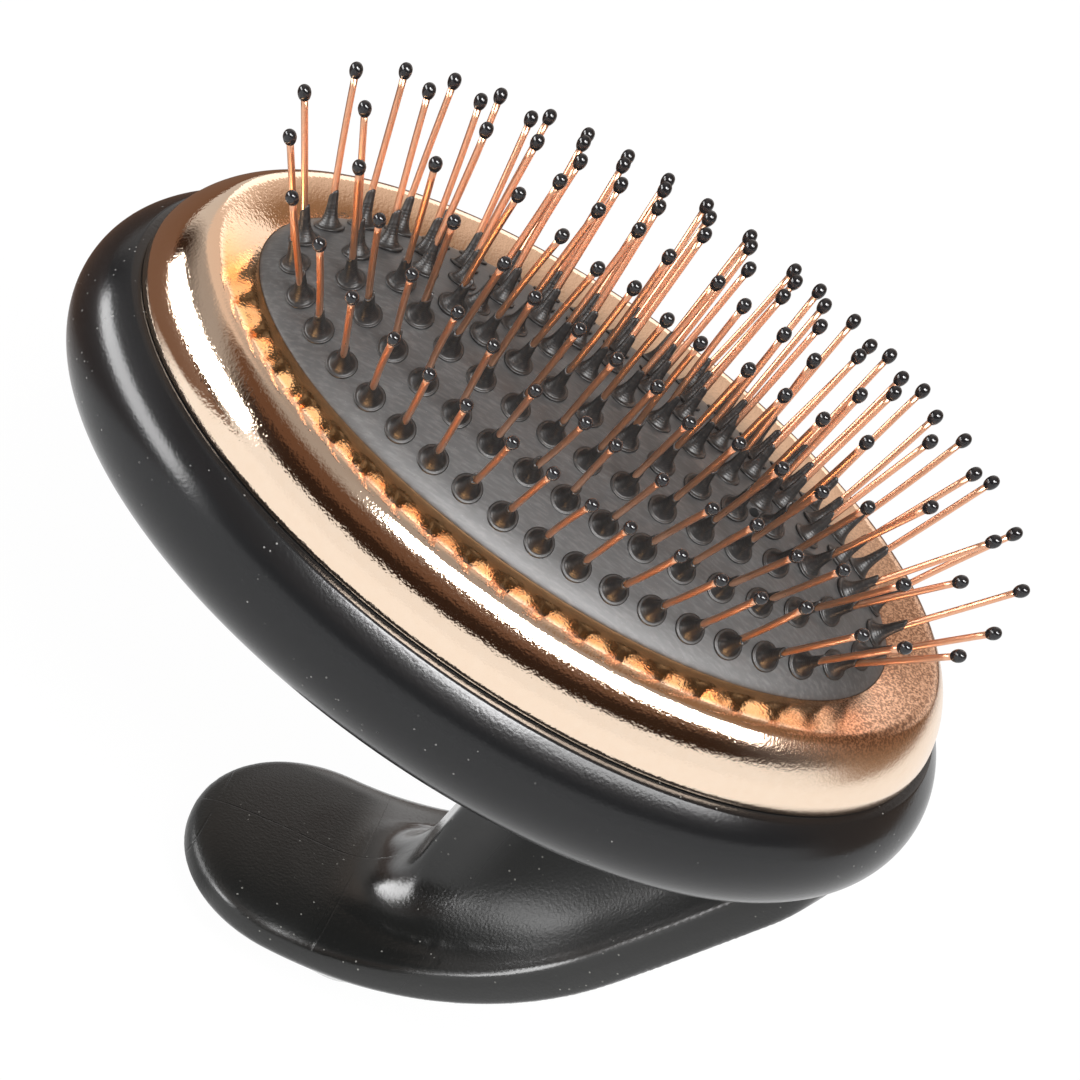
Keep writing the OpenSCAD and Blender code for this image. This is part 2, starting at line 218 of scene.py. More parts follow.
def head_shell():
    """Rolled shell, open at the top, with a well for each screw plug in its floor."""
    outline = np.concatenate([shell_outline(), SHELL_INSIDE])
    count = 288
    piece = mesh_piece("shell", oval_rings(outline, count), capped_faces(len(outline), count))
    well_r = PLUG_R + WELL_PLAY
    p, f = lathe([(well_r, FLOOR_Z - 1), (well_r, FLOOR_Z + WELL_DEPTH)], 40)
    cut(piece, [mesh_piece("well", p + [x, y, 0], f) for x, y in POSTS])
    return piece


def screw_plugs():
    """Round plugs with a dimple, level with the shell's floor."""
    heap = Heap()
    profile = [(0.3, 0.3), (0.8, 0.25), (0.9, 0.1), (PLUG_R - 0.12, 0.1), (PLUG_R, 0.25),
               (PLUG_R, WELL_DEPTH), (PLUG_R - 0.32, WELL_DEPTH + 0.05)]
    p, f = lathe(profile, 40)
    for x, y in POSTS:
        heap.add(p + [x, y, FLOOR_Z], f)
    return heap.piece("plugs")


def bezel():
    """Ring from the seam over its crest to the cushion's edge, and back inside."""
    outer = walk((-0.3, 0.0), BEZEL_OUTSIDE)
    drift = np.linspace(0, 1, len(outer))[:, None] ** 2 * ([-BEZEL_W + 0.02, BEZEL_H] - outer[-1])
    outline = np.concatenate([thin_out(outer + drift, 140), BEZEL_INSIDE])
    count = 384
    return mesh_piece("bezel", oval_rings(outline, count), grid_faces(len(outline), count, close_rows=True))


# ---------------------------------------------------------------- cushion and pins

# how far the tips of single pins of the outer ring stand off their even places
TIP_SHIFTS = {
    31: (-0.26, -1.0), 32: (-0.16, -0.44), 33: (0.32, -1.33), 34: (0.94, -0.78), 35: (0.62, -0.55),
    36: (0.15, -0.05), 37: (0.82, 0.04), 38: (0.68, 0.17), 0: (0.46, -0.2), 1: (-0.31, 0.09),
    2: (0.42, 0.47), 3: (0, 0.12), 4: (-0.75, 0.1), 5: (-1.43, 1.04), 6: (0.22, 0.6)}
TIP_SCATTER, FARTHEST_TIP, TIP_SEED = 0.5, 1.45, 11
PIN_BOW, BOW_SEED = 0.09, 40


def ring_places(ring):
    """Foot, even direction and own direction of each pin of a ring, evenly spaced along its oval."""
    inset = RING_INSET + ring * RING_PITCH
    a, b = EDGE_L - inset, EDGE_W - inset
    arc_step = 0.5
    t = np.radians(RING_START[ring] + np.arange(0, 360.1, arc_step))
    line = np.stack([a * np.cos(t), b * np.sin(t)], 1)
    along = np.concatenate([[0], np.cumsum(np.hypot(*np.diff(line, axis=0).T))])
    count = RING_PINS[ring]
    lean = math.radians(RING_LEAN[ring])
    chance = random.Random(TIP_SEED + ring)
    places = []
    for k, at in enumerate(np.arange(count) * along[-1] / count):
        turn = np.interp(at, along, t)
        foot = np.array([a * math.cos(turn), b * math.sin(turn), BEZEL_H + dome(inset)])
        away = math.atan2(a * math.sin(turn), b * math.cos(turn))
        axis = np.array([math.sin(lean) * math.cos(away), math.sin(lean) * math.sin(away), math.cos(lean)])
        shift = np.array([chance.gauss(0, TIP_SCATTER), chance.gauss(0, TIP_SCATTER), 0])
        if ring == 0 and k in TIP_SHIFTS:
            shift[:2] = TIP_SHIFTS[k]
        tip = axis * PIN_L + np.clip(shift, -FARTHEST_TIP, FARTHEST_TIP)
        places.append((foot, axis, tip / np.linalg.norm(tip)))
    return places


def cushion_pad():
    """Domed rubber wall with the flange that lies under the bezel, and its vent hole."""
    count, edge, crowding = 256, -BEZEL_W, 1.5
    outline = [(edge + FLANGE_W, BEZEL_H - 2.1), (edge + 0.3, BEZEL_H - 2.0), (edge + 0.05, BEZEL_H - 0.6)]
    outline += [(edge - u, BEZEL_H + dome(u)) for u in EDGE_W * np.linspace(0.0, 1, 60) ** crowding * 0.985]
    n_top = len(outline)
    outline += [(edge - u - PAD_T, BEZEL_H - PAD_T + dome(u))
                for u in EDGE_W * np.linspace(0.85, 0.0, 24) ** crowding]
    outline += [(edge - PAD_T, BEZEL_H - FLANGE_DROP), (edge + FLANGE_W, BEZEL_H - FLANGE_DROP)]
    faces = grid_faces(n_top, count)
    faces += grid_faces(len(outline) - n_top, count, start=n_top * count)
    faces.append(tuple((n_top - 1) * count + i for i in range(count)))
    faces.append(tuple(n_top * count + i for i in range(count - 1, -1, -1)))
    last = (len(outline) - 1) * count
    faces += [(last + i, last + (i + 1) % count, (i + 1) % count, i) for i in range(count)]
    piece = mesh_piece("cushion_pad", oval_rings(outline, count), faces)
    p, f = lathe([(VENT_R, VENT_FROM), (VENT_R, VENT_TO)], 24)
    cut(piece, [mesh_piece("vent", p + [*VENT_AT, 0], f)])
    return piece


def cone_profile():
    """Radius and height of a rubber cone: a rounded rim, a ridged hollow flank and a thin neck."""
    waist, flare, fade = 0.47, 1.18, 1.05
    flank_from, ridge_pitch = 0.26, 0.25
    profile = [(1.7, -1.0), (1.72, -0.08), (1.79, 0.04), (1.78, 0.15), (1.68, 0.23), (1.57, 0.22)]
    for k in range(9):
        low = flank_from + ridge_pitch * k
        for up, out in ((0.0, 0.0), (0.1, 0.035), (0.19, 0.0)):
            profile.append((waist + flare * math.exp(-(low + up) / fade) + out, low + up))
    return profile + [(0.55, 2.8), (0.52, 3.2), (0.49, 3.45), (0.43, 3.5), (0.2, 3.4)]


def torn(points, inward):
    """The cone's points with the neck pulled higher on the side that faces the head's middle."""
    neck_from, neck_l, pull = 1.2, 2.2, 0.1
    x, y, z = points.T
    side = (x * inward[0] + y * inward[1]) / np.maximum(np.hypot(x, y), 1e-6)
    share = ease((z - neck_from) / neck_l) * (0.5 + 0.5 * side)
    return np.stack([x + inward[0] * pull * share, y + inward[1] * pull * share, z + share], 1)


def cushion_cones():
    heap = Heap()
    points, faces = lathe(cone_profile(), 32)
    for ring in range(4):
        for foot, axis, _ in ring_places(ring):
            inward = -axis[:2] / np.hypot(*axis[:2])
            heap.add(turned(torn(points, inward), axis, foot), faces)
    return heap.piece("cushion_cones")


def pins(ring):
    """Slightly bowed wires, from inside the rubber into their balls."""
    heap = Heap()
    sides, rows, root, end = 14, 12, -0.14, 0.985
    t = np.linspace(0, 2 * math.pi, sides, endpoint=False)
    faces = capped_faces(rows, sides)
    chance = random.Random(BOW_SEED + ring)
    for foot, _, lean in ring_places(ring):
        bow = np.array([chance.gauss(0, PIN_BOW), chance.gauss(0, PIN_BOW), 0])
        side = np.cross([0, 1, 0], lean)
        side /= np.linalg.norm(side)
        round_it = PIN_R * (np.outer(np.cos(t), side) + np.outer(np.sin(t), np.cross(lean, side)))
        points = [foot + lean * PIN_L * s + bow * math.sin(math.pi * max(0, s)) + round_it
                  for s in np.linspace(root, end, rows)]
        heap.add(np.concatenate(points), faces)
    return heap.piece(f"pins_{ring + 1}")


def balls(ring):
    """Egg-shaped tips, a little wider on their outer half."""
    heap = Heap()
    rows, short, fullness, egg, sunk = 17, 0.35, 0.92, 0.07, 0.1
    profile = []
    for k in range(rows):
        a = math.pi * (k + short) / (rows - 1 + 2 * short)
        radius = BALL_R * math.sin(a) ** fullness * (1 - egg * math.cos(a))
        profile.append((radius, -BALL_HALF * math.cos(a)))
    points, faces = lathe(profile, 22)
    for foot, _, lean in ring_places(ring):
        heap.add(turned(points, lean, foot + lean * (PIN_L - sunk)), faces)
    return heap.piece(f"balls_{ring + 1}")


# ---------------------------------------------------------------- handle

BOW_R, BOW_X, BOW_DROP = 48.0, -2.3, 22.0
SLOPE_LOW, SLOPE_HIGH = math.radians(11.5), math.radians(65.5)
BOW_L = BOW_R * (SLOPE_HIGH - SLOPE_LOW)
GRIP_W, ROOT_W, GRIP_T, RIM_T = 31.6, 29.0, 6.0, 2.4
TIP_R, TIP_FLAT, CLIMB_L = GRIP_W / 2, 0.7, 33.0
WEB_HALF, WEB_X, WEB_FOOT_R, SCOOP_R = 3.0, 15.5, 8.0, 12.0
SCOOP_FLOOR = RIM_T + (GRIP_T - RIM_T) * 0.8
BULGE_FROM, BULGE_TO, BULGE_FADE, FOOT_DIG = 18, 18, 12, 1.2
WEB_SOFT, SIDE_SOFT, TRIM_SOFT = 1.6, 0.6, 1.0
OVAL_OUT, ROLL_TRIM, ROLL_PLAY = 2, 1.9, 0.35


def blend_min(a, b, soft):
    """The lesser of two depths, rounded where they meet."""
    h = np.clip(0.5 + 0.5 * (b - a) / soft, 0, 1)
    return b * (1 - h) + a * h - soft * h * (1 - h)


def blend_max(a, b, soft):
    return -blend_min(-a, -b, soft)


def quarter(low, r):
    """How far a fillet of radius r has come in at a distance low into it, and its slope there."""
    rest = np.sqrt(np.clip(r ** 2 - low ** 2, 0, None))
    return r - rest, low / np.maximum(rest, 1)


def along_bow(x, z):
    """Distance along the handle's outer face, height above that face, and its slope."""
    dx, dz = x - BOW_X, z + BOW_DROP
    slope = np.clip(np.arctan2(dx, -dz), SLOPE_LOW, SLOPE_HIGH)
    px, pz = BOW_R * np.sin(slope), -BOW_R * np.cos(slope)
    past = (dx - px) * np.cos(slope) + (dz - pz) * np.sin(slope)
    up = -(dx - px) * np.sin(slope) + (dz - pz) * np.cos(slope)
    return BOW_R * (slope - SLOPE_LOW) + past, up, slope


def plate_depth(s, t, slope, y, half):
    """Depth in the curved plate, with the swell that ends in its foot."""
    from_tip = s + TIP_R + TIP_FLAT
    plan = np.sqrt(np.clip(1 - from_tip / TIP_R, 0, None) ** 2 + (y / half) ** 2)
    inner = np.sqrt(np.clip(1 - plan ** 2, 0, 1))
    face_z = -BOW_DROP - BOW_R * np.cos(slope) + np.where(s < 0, s * math.sin(SLOPE_LOW), 0)
    foot = ease(from_tip / BULGE_FROM) * ease((BULGE_TO - s) / BULGE_FADE)
    foot = foot * ((SEAM_Z + face_z) / np.cos(slope) + FOOT_DIG)
    above = np.clip((t - RIM_T) / (GRIP_T - RIM_T), 0, None)
    below = np.clip((RIM_T - t - foot * inner ** 3) / RIM_T, 0, None)
    power, middle = 3.4, 5.0
    size = (plan ** power + above ** power + below ** power) ** (1 / power)
    return (size - 1) * np.where(above > plan, GRIP_T - RIM_T, np.where(below > plan, RIM_T, middle))


def web_depth(x, y, z, t, half):
    """Depth in the web between the plate and the head, hollowed on both sides."""
    reach, tilt = quarter(np.clip(SCOOP_FLOOR + SCOOP_R - t, 0, SCOOP_R), SCOOP_R)
    web = (y - WEB_HALF - reach) / np.sqrt(1 + tilt ** 2)
    plate_z = -BOW_DROP - np.sqrt(np.clip((BOW_R - GRIP_T) ** 2 - (x - BOW_X) ** 2, 1, None))
    low = np.clip(WEB_FOOT_R - (z - plate_z), 0, WEB_FOOT_R)
    reach, tilt = quarter(low, WEB_FOOT_R)
    front = (WEB_X - reach - x) / np.sqrt(1 + tilt ** 2)
    web = blend_max(web, front, 1.2 + 3.5 * ease(low / WEB_FOOT_R))
    web = blend_max(web, y - (half - SIDE_SOFT), SIDE_SOFT)
    return np.maximum(web, 1.5 - t)


def handle_depth(p):
    """Below zero inside the handle; close to the distance from its surface."""
    x, y, z = p[..., 0], np.abs(p[..., 1]), p[..., 2]
    s, t, slope = along_bow(x, z)
    half = TIP_R - ease((s - BOW_L) / CLIMB_L) * (GRIP_W - ROOT_W) / 2
    body = blend_min(plate_depth(s, t, slope, y, half), web_depth(x, y, z, t, half), WEB_SOFT)
    level = np.sqrt((x / (HALF_L + OVAL_OUT)) ** 2 + (y / (HALF_W + OVAL_OUT)) ** 2)
    outset = (level - 1) * HALF_W + OVAL_OUT
    body = blend_max(body, outset - (ROLL_R - ROLL_INSET) + ROLL_TRIM, TRIM_SOFT)
    roll = ROLL_R - ROLL_PLAY - np.hypot(np.clip(outset + ROLL_INSET, 0, None), z + ROLL_DROP)
    body = np.maximum(body, np.where(z > -ROLL_DROP, 1.0, roll))
    return blend_max(body, -z - SEAM_Z, SIDE_SOFT)


def surface_of(depth, low, high, step):
    """Mesh of the zero level of a depth field, one point to a cell."""
    axes = [np.arange(a, b + step, step) for a, b in zip(low, high)]
    field = depth(np.stack(np.meshgrid(*axes, indexing="ij"), -1))
    total, hits = np.zeros(field.shape + (3,)), np.zeros(field.shape)
    around = ((0, 0), (1, 0), (1, 1), (0, 1))
    crossings = []
    for axis in range(3):
        here, there = [slice(None)] * 3, [slice(None)] * 3
        here[axis], there[axis] = slice(0, -1), slice(1, None)
        f0, f1 = field[tuple(here)], field[tuple(there)]
        cells = np.argwhere((f0 < 0) != (f1 < 0))
        a, b = (axis + 1) % 3, (axis + 2) % 3
        cells = cells[(cells[:, a] > 0) & (cells[:, b] > 0)]
        i = tuple(cells.T)
        spot = cells.astype(float)
        spot[:, axis] += f0[i] / (f0[i] - f1[i])
        corners = []
        for da, db in around:
            c = cells.copy()
            c[:, a] -= da
            c[:, b] -= db
            np.add.at(total, tuple(c.T), spot)
            np.add.at(hits, tuple(c.T), 1)
            corners.append(c)
        crossings.append((corners, f0[i] < 0))
    used = np.argwhere(hits > 0)
    number = np.zeros(field.shape, int)
    number[tuple(used.T)] = np.arange(len(used))
    points = total[tuple(used.T)] / hits[tuple(used.T)][:, None] * step + np.array(low)
    faces = []
    for corners, inside in crossings:
        quads = np.stack([number[tuple(c.T)] for c in corners], 1)
        quads[~inside] = quads[~inside][:, ::-1]
        faces.append(quads)
    return points, np.concatenate(faces)


def settle(points, depth, rounds=3):
    """Moves the points onto the zero level."""
    h, farthest, least_slope = 0.02, 0.25, 0.15
    for _ in range(rounds):
        value = depth(points)
        slope = np.stack([(depth(points + h * e) - depth(points - h * e)) / (2 * h) for e in np.eye(3)], -1)
        move = slope * (value / np.clip((slope ** 2).sum(-1), least_slope, None))[:, None]
        length = np.linalg.norm(move, axis=1)
        points = points - move * np.minimum(1, farthest / np.maximum(length, 1e-9))[:, None]
    return points


def palm_handle():
    """Grip plate, web and climbing back in one skin."""
    low, high, cell = (-11.5, -17.5, -77.5), (58.5, 17.5, -6.5), 0.5
    points, faces = surface_of(handle_depth, low, high, cell)
    piece = mesh_piece("handle", settle(points, handle_depth), faces)
    mod = piece.modifiers.new("even", "SMOOTH")
    mod.factor, mod.iterations = 0.5, 2
    settled_mesh(piece)
    return piece


# ---------------------------------------------------------------- finishes

class Signal:
    """A node's socket; arithmetic on it adds Math nodes."""

    def __init__(self, nodes, socket):
        self.nodes, self.socket = nodes, socket

    def math(self, operation, *others):
        return self.nodes.make("Math", {"operation": operation}, dict(enumerate((self,) + others)))

    def __add__(self, other):
        return self.math("ADD", other)

    def __mul__(self, other):
        return self.math("MULTIPLY", other)

    def __sub__(self, other):
        return self.math("SUBTRACT", other)

    def __rsub__(self, other):
        return self * -1 + other

    def __abs__(self):
        return self.math("ABSOLUTE")

    __radd__ = __add__
    __rmul__ = __mul__

    def below(self, edge, soft):
        """1 where the value is under edge, falling to 0 over soft."""
        return self.nodes.make("MapRange", {"interpolation_type": "SMOOTHSTEP"},
                               {"Value": self, "From Min": edge, "From Max": edge + soft,
                                "To Min": 1.0, "To Max": 0.0})

    def above(self, edge, soft):
        return 1 - self.below(edge, soft)


class Nodes:
    """The nodes of a material or of the world, being made."""

    def __init__(self, owner, coordinates):
        owner.use_nodes = True
        self.owner, self.tree = owner, owner.node_tree
        self.tree.nodes.clear()
        self.place = self.make("TexCoord", output=coordinates)

    def make(self, kind, settings=None, inputs=None, output=0):
        """Adds a node and gives back one of its outputs; Signals among the inputs are linked."""
        node = self.tree.nodes.new("ShaderNode" + kind)
        for key, value in (settings or {}).items():
            if key == "stops":
                ramp = node.color_ramp
                while len(ramp.elements) < len(value):
                    ramp.elements.new(0.5)
                for element, (at, colour) in zip(ramp.elements, value):
                    element.position, element.color = at, colour
            else:
                setattr(node, key, value)
        for key, value in (inputs or {}).items():
            if isinstance(value, Signal):
                self.tree.links.new(value.socket, node.inputs[key])
            else:
                node.inputs[key].default_value = value
        return Signal(self, node.outputs[output]) if node.outputs else None

    def noise(self, per_mm, detail=2.0, roughness=0.5, place=None):
        return self.make("TexNoise", {}, {"Vector": place or self.place, "Scale": per_mm / MM,
                                          "Detail": detail, "Roughness": roughness})

    def stretched(self, x, y, z):
        """The place with its axes scaled, for a pattern that is drawn out where the scale is low."""
        return self.make("Mapping", {}, {"Vector": self.place, "Scale": (x, y, z)})

    def axis(self, name):
        return self.make("SeparateXYZ", {}, {0: self.place}, output=name)

    def mix(self, share, first, second):
        return self.make("Mix", {"data_type": "RGBA"}, {0: share, 6: first, 7: second}, output=2)

    def bump(self, height, distance, strength=1.0, under=None):
        """Normal roughened by height, with distance in millimetres, over another bump if there is one."""
        inputs = {"Height": height, "Distance": distance * MM, "Strength": strength}
        if under is not None:
            inputs["Normal"] = under
        return self.make("Bump", {}, inputs)

    def specks(self, per_mm, share):
        """1 on small bright specks of dust; share is how much of the surface bears them."""
        spots = self.make("TexVoronoi", {"feature": "F1"},
                          {"Vector": self.place, "Scale": per_mm / MM, "Randomness": 1.0})
        return spots.below(0.07, 0.05) * self.noise(per_mm * 0.11).above(1 - share, 0.04)

    def surface(self, **inputs):
        """Ends the material in a shader with these inputs, spelt with underscores."""
        named = {key.replace("_", " "): value for key, value in inputs.items()}
        self.make("OutputMaterial", {}, {"Surface": self.make("BsdfPrincipled", {}, named)})
        return self.owner


def finish(name):
    return Nodes(bpy.data.materials.new(name), "Object")


def grey(v):
    return (v, v, v, 1)


def shell_plastic():
    f = finish("satin_black_shell")
    specks = f.specks(0.9, 0.44)
    peel = f.noise(2.6, 1.5, 0.5)
    colour = f.mix(specks, (0.006, 0.0063, 0.0068, 1), (0.13, 0.13, 0.125, 1))
    rough = 0.17 + f.noise(0.05) * 0.05 + specks * 0.3
    return f.surface(Base_Color=colour, Roughness=rough, IOR=1.43, Normal=f.bump(peel, 0.014, 1.0))


def handle_plastic():
    """Satin plastic with fine seams, glossier in the hollows and on the rim than where it is worn."""
    f = finish("satin_black_grip")
    x, y, z = (f.axis(n) for n in "XYZ")
    specks = f.specks(0.8, 0.5)
    grain = f.noise(2.6, 2, 0.5)
    line_half, line_soft = 0.00004, 0.0001
    seam = abs(y).below(0.00005, line_soft)
    tongue = z.below(0.018, 0.003)
    across = abs(x - 0.0107).below(line_half, line_soft) + abs(x + 0.0075).below(line_half, line_soft)
    lines = (seam + across * tongue) * f.noise(0.6).above(0.3, 0.25)
    colour = f.mix(specks * 0.8, (0.005, 0.0052, 0.005, 1), (0.12, 0.12, 0.11, 1))
    rough = 0.15 + f.noise(0.08) * 0.05 + specks * 0.25
    normal = f.bump(1 - lines, 0.05, 0.8, f.bump(grain, 0.042, 1.0))
    # worn on the tongue, up to x 7 mm, and on the climbing back, from x 25 mm; the rim is past y 11.5 mm
    worn = x.below(0.007, 0.006) + x.above(0.019, 0.006)
    rim = abs(y).above(0.0115, 0.0025)
    gloss = (1 - worn * (1 - rim)) * 0.9
    return f.surface(Base_Color=colour, Roughness=rough + worn * 0.18, IOR=1.34, Normal=normal,
                     Coat_Weight=gloss, Coat_Roughness=0.2, Coat_IOR=1.4)


def rose_metal():
    """Plated plastic, pale outside, with painted reflections: a warmer tone all round the cushion's edge
    and deep gold by its near edge for the copper pins it mirrors, and darker mottled copper at the far end.
    """
    f = finish("rose_gold_bezel")
    pebbles = f.noise(2.8, 1.5, 0.5)
    swell = f.noise(0.6)
    a, b = EDGE_L * MM, EDGE_W * MM
    x, y = f.axis("X"), f.axis("Y")
    share = (x * x * (1 / a ** 2) + y * y * (1 / b ** 2)).math("SQRT")
    slope = (x * x * (1 / a ** 4) + y * y * (1 / b ** 4)).math("SQRT")
    inset = (share - 1) * share * slope.math("POWER", -1.0)  # distance outside the cushion's edge
    outer = f.mix(f.noise(0.9, 3), (0.96, 0.78, 0.62, 1), (0.93, 0.73, 0.56, 1))
    near_painted_reflection, end = y.below(-0.010, 0.012), x.above(0.026, 0.018)  # the near side, where the deep gold painted reflection goes, and the far end, painted darker
    # painted reflection: the plating is a warmer tone all round the cushion's edge, for the copper pins it
    # mirrors
    colour = f.mix(inset.below(0.0048, 0.003), outer, (0.95, 0.72, 0.54, 1))
    # painted reflection: deep gold by the cushion's near edge only, for the lit copper pins mirrored there
    colour = f.mix(inset.below(0.0044, 0.0012) * near_painted_reflection, colour, (0.86, 0.46, 0.19, 1))
    # painted reflection: the far end is painted darker, mottled copper
    mottle = f.noise(3.2, 2, 0.7).above(0.42, 0.16)
    far_painted_reflection = f.mix(mottle, (0.30, 0.17, 0.11, 1), (0.68, 0.43, 0.29, 1))
    colour = f.mix(inset.below(0.0058, 0.003) * end, colour, far_painted_reflection)
    normal = f.bump(pebbles, 0.018, 1.0, f.bump(swell, 0.05, 0.25))
    rough = 0.05 + pebbles * 0.05 + end * 0.16
    return f.surface(Base_Color=colour, Metallic=1.0, Roughness=rough, Normal=normal)


def pad_rubber():
    """Brushed and dusty rubber, with painted shade inside the vent hole."""
    f = finish("dusty_black_rubber")
    brushed = f.noise(2.0, 3, 0.55, f.stretched(0.35, 1.6, 1))
    blotch = f.noise(0.12, 3, 0.6)
    dust = f.specks(2.2, 0.6)
    share = brushed.above(0.4, 0.35) * 0.45 + blotch * 0.3 + dust * 0.9
    colour = f.mix(share, (0.018, 0.0187, 0.020, 1), (0.080, 0.081, 0.081, 1))
    # painted shade: inside the vent hole the rubber is painted black
    across, along = f.axis("X") - VENT_AT[0] * MM, f.axis("Y") - VENT_AT[1] * MM
    vent = (across * across + along * along).math("SQRT").below(VENT_R * MM, 0.00008)
    colour = f.mix(vent, colour, grey(0.0))
    rough = 0.45 + blotch * 0.08 + vent * 0.5
    return f.surface(Base_Color=colour, Roughness=rough, IOR=1.65, Normal=f.bump(brushed, 0.015, 0.9))


def cone_rubber():
    f = finish("worn_cone_rubber")
    dust = f.noise(2.4, 4, 0.7)
    colour = f.mix(dust.above(0.5, 0.3), (0.011, 0.0105, 0.0105, 1), (0.052, 0.045, 0.039, 1))
    return f.surface(Base_Color=colour, Roughness=0.3 + dust * 0.2, IOR=1.5, Normal=f.bump(dust, 0.02, 0.5))


def copper_wire():
    f = finish("copper_pins")
    drawn = f.noise(2.2, 3, 0.6, f.stretched(1, 1, 0.12))
    colour = f.mix(drawn, (0.90, 0.52, 0.34, 1), (0.74, 0.38, 0.23, 1))
    return f.surface(Base_Color=colour, Metallic=1.0, Roughness=0.24 + drawn * 0.12,
                     Normal=f.bump(drawn, 0.006, 0.4))


def ball_enamel():
    f = finish("black_enamel_tips")
    wave = f.noise(0.9)
    colour = f.mix(wave, (0.006, 0.006, 0.007, 1), (0.010, 0.010, 0.011, 1))
    return f.surface(Base_Color=colour, Roughness=0.05 + wave * 0.05, IOR=1.52,
                     Normal=f.bump(wave, 0.02, 0.2))


def plain_plastic():
    f = finish("plain_black_moulding")
    grain = f.noise(2.0, 3)
    colour = f.mix(grain, (0.02, 0.02, 0.022, 1), (0.03, 0.03, 0.032, 1))
    return f.surface(Base_Color=colour, Roughness=0.45 + grain * 0.1, Normal=f.bump(grain, 0.02, 0.4))


def zinc_steel():
    f = finish("zinc_plated_steel")
    grain = f.noise(1.5, 3)
    colour = f.mix(grain, (0.55, 0.55, 0.57, 1), (0.7, 0.7, 0.72, 1))
    return f.surface(Base_Color=colour, Metallic=1.0, Roughness=0.25 + grain * 0.15,
                     Normal=f.bump(grain, 0.01, 0.3))


# ---------------------------------------------------------------- studio

WHITE, PALE, CLAY = (0.95, 0.95, 0.95, 1), (0.62, 0.58, 0.55, 1), (0.76, 0.62, 0.53, 1)
HAZE, GLOOM, SOIL = (0.38, 0.35, 0.33, 1), (0.28, 0.17, 0.1, 1), (0.16, 0.08, 0.045, 1)
EMBER, DUSK = (0.14, 0.07, 0.04, 1), (0.03, 0.015, 0.009, 1)
# tones of the walls by height, from -1 straight down over 0 at the horizon to 1 straight up
FRONT_TONES = [(-1, WHITE), (0.235, WHITE), (0.28, DUSK), (0.48, DUSK), (0.56, EMBER), (0.68, EMBER),
               (0.8, HAZE), (1, HAZE)]
BACK_TONES = [(-1, WHITE), (-0.08, WHITE), (0.0, PALE), (0.4, PALE), (0.5, CLAY), (0.8, CLAY),
              (0.95, HAZE), (1, HAZE)]
LEFT_TONES = [(-1, WHITE), (-0.2, WHITE), (-0.12, DUSK), (0.12, DUSK), (0.4, HAZE), (1, HAZE)]
FLOOR_HALF, FLOOR_GLOW = 3, 0.98


def sky():
    """White below the horizon, dark walls in front and warm grey ones behind; all white to the camera."""
    n = Nodes(bpy.data.worlds.new("studio"), "Generated")
    bpy.context.scene.world = n.owner
    height = n.axis("Z") * 0.5 + 0.5
    front, back, left = (
        n.make("ValToRGB", {"stops": [(0.5 + at / 2, tone) for at, tone in tones]}, {0: height})
        for tones in (FRONT_TONES, BACK_TONES, LEFT_TONES))
    back = n.mix(n.axis("X").above(0.05, 0.25), back, GLOOM)
    tone = n.mix(n.axis("Y").below(-0.25, 0.3), back, front)
    tone = n.mix(n.axis("X").below(-0.86, 0.16), tone, left)
    colour = n.mix(n.make("LightPath", output="Is Camera Ray"), tone, grey(1.0))
    n.make("OutputWorld", {}, {"Surface": n.make("Background", {}, {"Color": colour})})


def floor():
    """White floor that glows to the camera and in reflections, where its far left corner is dark."""
    f = finish("studio_floor")
    camera_ray = f.make("LightPath", output="Is Camera Ray")
    glossy_ray = f.make("LightPath", output="Is Glossy Ray")
    seen = camera_ray.math("MAXIMUM", glossy_ray) * FLOOR_GLOW
    diffuse = f.make("BsdfDiffuse", {}, {"Color": grey(0.9)})
    corner = (f.axis("Y") - f.axis("X")).above(0.09, 0.08)
    tone = f.mix(camera_ray, f.mix(corner, grey(1.0), SOIL), grey(1.0))
    glow = f.make("Emission", {}, {"Color": tone, "Strength": 1.0})
    f.make("OutputMaterial", {}, {"Surface": f.make("MixShader", {}, {0: seen, 1: diffuse, 2: glow})})
    mesh = bpy.data.meshes.new("floor")
    corners = [(x * FLOOR_HALF, y * FLOOR_HALF, 0) for x, y in ((-1, -1), (1, -1), (1, 1), (-1, 1))]
    mesh.from_pydata(corners, [], [(0, 1, 2, 3)])
    mesh.materials.append(f.owner)
    plane = bpy.data.objects.new("floor", mesh)
    bpy.context.scene.collection.objects.link(plane)


def way_to(azimuth, elevation):
    """Direction at these angles in degrees, with azimuth 0 along x."""
    a, e = math.radians(azimuth), math.radians(elevation)
    return np.array([math.cos(e) * math.cos(a), math.cos(e) * math.sin(a), math.sin(e)])


def placed(body, columns, place):
    """Adds the body with its axes laid along the columns and its origin at place."""
    rows = [[columns[k][i] for k in range(3)] + [place[i]] for i in range(3)]
    body.matrix_world = Matrix(rows + [[0, 0, 0, 1]])
    bpy.context.scene.collection.objects.link(body)


def strip_lamp(name, start, end, width, radiance, distance=1.2):
    """Long lamp that runs between two directions from the brush, each (azimuth, elevation)."""
    a, b = way_to(*start) * distance, way_to(*end) * distance
    middle, length = (a + b) / 2, np.linalg.norm(b - a)
    along = (b - a) / length
    out = middle - along * (middle @ along)
    out /= np.linalg.norm(out)
    light = bpy.data.lights.new(name, "AREA")
    light.shape, light.size, light.size_y = "RECTANGLE", length, width
    light.energy = radiance * math.pi * length * width
    body = bpy.data.objects.new(name, light)
    body.visible_camera = False
    placed(body, [along, np.cross(out, along), out], middle + [0, 0, SEAM_Z * MM])


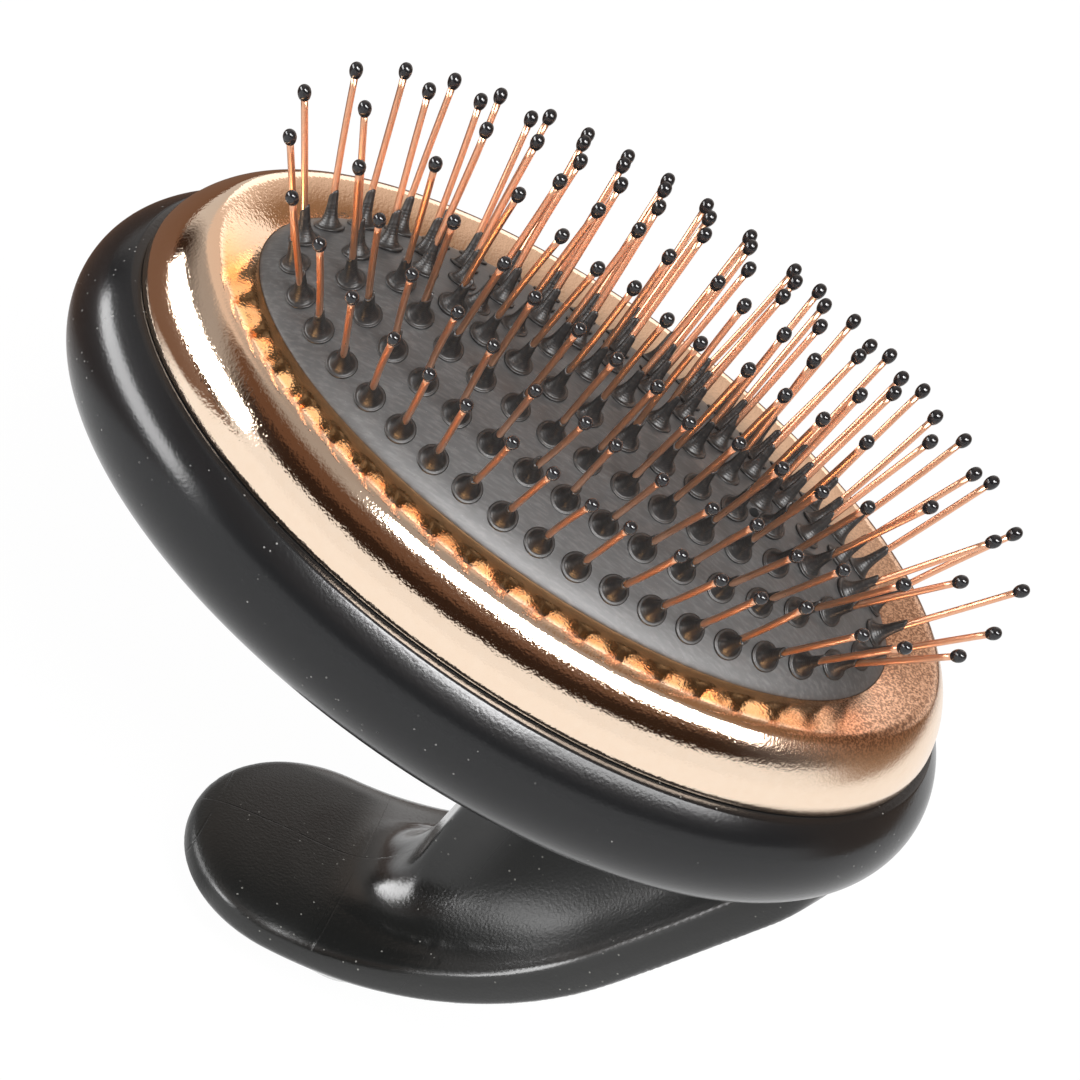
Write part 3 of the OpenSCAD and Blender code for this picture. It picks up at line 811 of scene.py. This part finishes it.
def camera():
    """Long lens from the near side; right and down are the directions of its frame."""
    right = np.array([0.818, 0.2781, 0.5035])
    down = np.array([0.5644, -0.5563, -0.6099])
    ahead = np.cross(right, down)
    ahead /= np.linalg.norm(ahead)
    right /= np.linalg.norm(right)
    data = bpy.data.cameras.new("camera")
    data.sensor_width, data.lens = 36, 157.62
    data.clip_start, data.clip_end = 0.01, 20
    body = bpy.data.objects.new("camera", data)
    place = (-0.0572, -0.42463, 0.40294)
    placed(body, [right, -np.cross(ahead, right), -ahead], place)
    bpy.context.scene.camera = body


# ---------------------------------------------------------------- assembly

def place_piece(piece, material, slot, body, *nodes):
    """Gives the piece its material, sets it on its body and in the place of the nodes; slot is not used."""
    piece.data.materials.clear()
    piece.data.materials.append(material)
    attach(piece, body)
    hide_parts(*nodes)


camera()
steel, moulding, wire, enamel = zinc_steel(), plain_plastic(), copper_wire(), ball_enamel()
place_piece(head_shell(), shell_plastic(), "shell_black", "body", "head_shell")
place_piece(screw_plugs(), moulding, "plug_black", "body", "screw_plugs")
place_piece(bezel(), rose_metal(), "rose_gold", "body", "bezel_ring")
place_piece(palm_handle(), handle_plastic(), "grip_black", "body", "palm_handle")
for piece, rubber in ((cushion_pad(), pad_rubber()), (cushion_cones(), cone_rubber())):
    place_piece(piece, rubber, "cushion_rubber", "body", "cushion")
    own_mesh(piece)
for ring in range(4):
    place_piece(pins(ring), wire, "pin_copper", f"ring_{ring + 1}", f"pins_ring_{ring + 1}")
    place_piece(balls(ring), enamel, "ball_black", f"ring_{ring + 1}", f"balls_ring_{ring + 1}")
for node, material in (("cushion_frame", moulding), ("frame_screws", steel), ("shell_screws", steel),
                       ("handle_screws", steel), ("handle_washers", steel)):
    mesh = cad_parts[node].data
    mesh.materials.clear()
    mesh.materials.append(material)

sky()
floor()
strip_lamp("left_strip", (162, 0), (222, 13), 0.3, 14)
strip_lamp("front_strip", (-108, 58), (-62, 49), 0.34, 30)
strip_lamp("back_strip", (112, 18), (42, 18), 0.55, 0.9)
strip_lamp("right_strip", (-62, 49), (-22, 40), 0.34, 13)
bpy.context.scene.view_settings.view_transform = "Standard"
